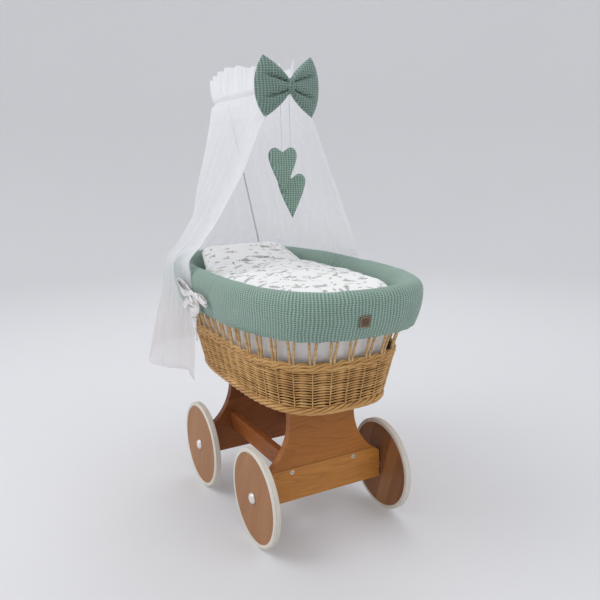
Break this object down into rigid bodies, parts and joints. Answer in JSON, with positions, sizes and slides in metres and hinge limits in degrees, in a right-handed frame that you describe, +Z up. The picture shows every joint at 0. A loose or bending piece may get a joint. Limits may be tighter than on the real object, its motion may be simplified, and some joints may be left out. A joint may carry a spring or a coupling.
{
  "type": "bassinet on stand",
  "caption": "Oval wicker baby bassinet on a low wooden wheeled stand, with a padded rim cover, bedding and a sheer canopy gathered on a rod with a padded bow and hearts.",
  "frame": {"origin": "on the floor under the middle of the stand, halfway between the wheels", "axes": "+X towards the foot end, -X towards the head end with the canopy rod, +Y to the right side, +Z up"},
  "size_m": [0.9953, 0.69, 1.251],
  "materials": {
    "stained_wood": "oiled, satin",
    "wheel_plywood": "stained plywood, satin",
    "nylon": "semi-clear nylon",
    "cream_rubber": "matt cream rubber",
    "steel": "zinc-plated steel",
    "rod_steel": "grey-white coated steel",
    "wicker": "peeled honey willow, satin",
    "white_cotton": "plain white cotton",
    "mattress_cover": "white quilted cotton over foam",
    "printed_cotton": "white cotton with a soft leaf print",
    "waffle_cotton": "sage-green waffle cotton",
    "patch_leather": "brown leather-look",
    "sheer_voile": "sheer white voile"
  },
  "bodies": {
    "bassinet": {"base_board": "wicker", "basket_bolts": "steel", "basket_brackets": "steel", "bracket_screws": "steel", "bumper": "waffle_cotton", "duvet": "printed_cotton", "foot_border": "wicker", "foot_left_axle_bolt": "steel", "foot_left_hub_cap": "steel", "foot_left_spacer": "steel", "foot_panel": "stained_wood", "foot_right_axle_bolt": "steel", "foot_right_hub_cap": "steel", "foot_right_spacer": "steel", "head_left_axle_bolt": "steel", "head_left_hub_cap": "steel", "head_left_spacer": "steel", "head_panel": "stained_wood", "head_right_axle_bolt": "steel", "head_right_hub_cap": "steel", "head_right_spacer": "steel", "leather_patch": "patch_leather", "left_rail": "stained_wood", "left_tie_bow": "printed_cotton", "liner": "white_cotton", "mattress": "mattress_cover", "pillow": "printed_cotton", "rail_screws": "steel", "right_rail": "stained_wood", "right_tie_bow": "printed_cotton", "rod_socket": "steel", "socket_clamp": "steel", "stakes": "wicker", "waling_band": "wicker", "wicker_rim": "wicker", "woven_wall": "wicker"},
    "foot_left_wheel": {"foot_left_wheel_disc": "wheel_plywood", "foot_left_wheel_bush": "nylon", "foot_left_tyre": "cream_rubber"},
    "foot_right_wheel": {"foot_right_wheel_disc": "wheel_plywood", "foot_right_wheel_bush": "nylon", "foot_right_tyre": "cream_rubber"},
    "head_left_wheel": {"head_left_wheel_disc": "wheel_plywood", "head_left_wheel_bush": "nylon", "head_left_tyre": "cream_rubber"},
    "head_right_wheel": {"head_right_wheel_disc": "wheel_plywood", "head_right_wheel_bush": "nylon", "head_right_tyre": "cream_rubber"},
    "canopy": {"canopy_rod": "rod_steel", "crown_loop": "rod_steel", "veil": "sheer_voile", "bow_left_lobe": "waffle_cotton", "bow_right_lobe": "waffle_cotton", "bow_knot": "waffle_cotton"},
    "upper_heart": {"upper_heart": "waffle_cotton", "upper_heart_thread": "nylon"},
    "lower_heart": {"lower_heart": "waffle_cotton", "lower_heart_thread": "nylon"}
  },
  "joints": [
    {"name": "foot_left_wheel_spin", "type": "hinge", "parent": "bassinet", "child": "foot_left_wheel", "pos_m": [0.196, -0.1978, 0.13], "axis": [0, 1, 0], "continuous": true},
    {"name": "foot_right_wheel_spin", "type": "hinge", "parent": "bassinet", "child": "foot_right_wheel", "pos_m": [0.196, 0.1978, 0.13], "axis": [0, 1, 0], "continuous": true},
    {"name": "head_left_wheel_spin", "type": "hinge", "parent": "bassinet", "child": "head_left_wheel", "pos_m": [-0.196, -0.1978, 0.13], "axis": [0, 1, 0], "continuous": true},
    {"name": "head_right_wheel_spin", "type": "hinge", "parent": "bassinet", "child": "head_right_wheel", "pos_m": [-0.196, 0.1978, 0.13], "axis": [0, 1, 0], "continuous": true},
    {"name": "canopy_lift", "type": "slide", "parent": "bassinet", "child": "canopy", "axis": [0, 0, 1], "range_m": [0, 0.12]},
    {"name": "upper_heart_swing", "type": "hinge", "parent": "canopy", "child": "upper_heart", "pos_m": [0.035, -0.015, 1.1655], "axis": [1, 0, 0], "range_deg": [-15, 12]},
    {"name": "lower_heart_swing", "type": "hinge", "parent": "canopy", "child": "lower_heart", "pos_m": [0.008, 0.025, 1.1655], "axis": [1, 0, 0], "range_deg": [-15, 8]}
  ]
}
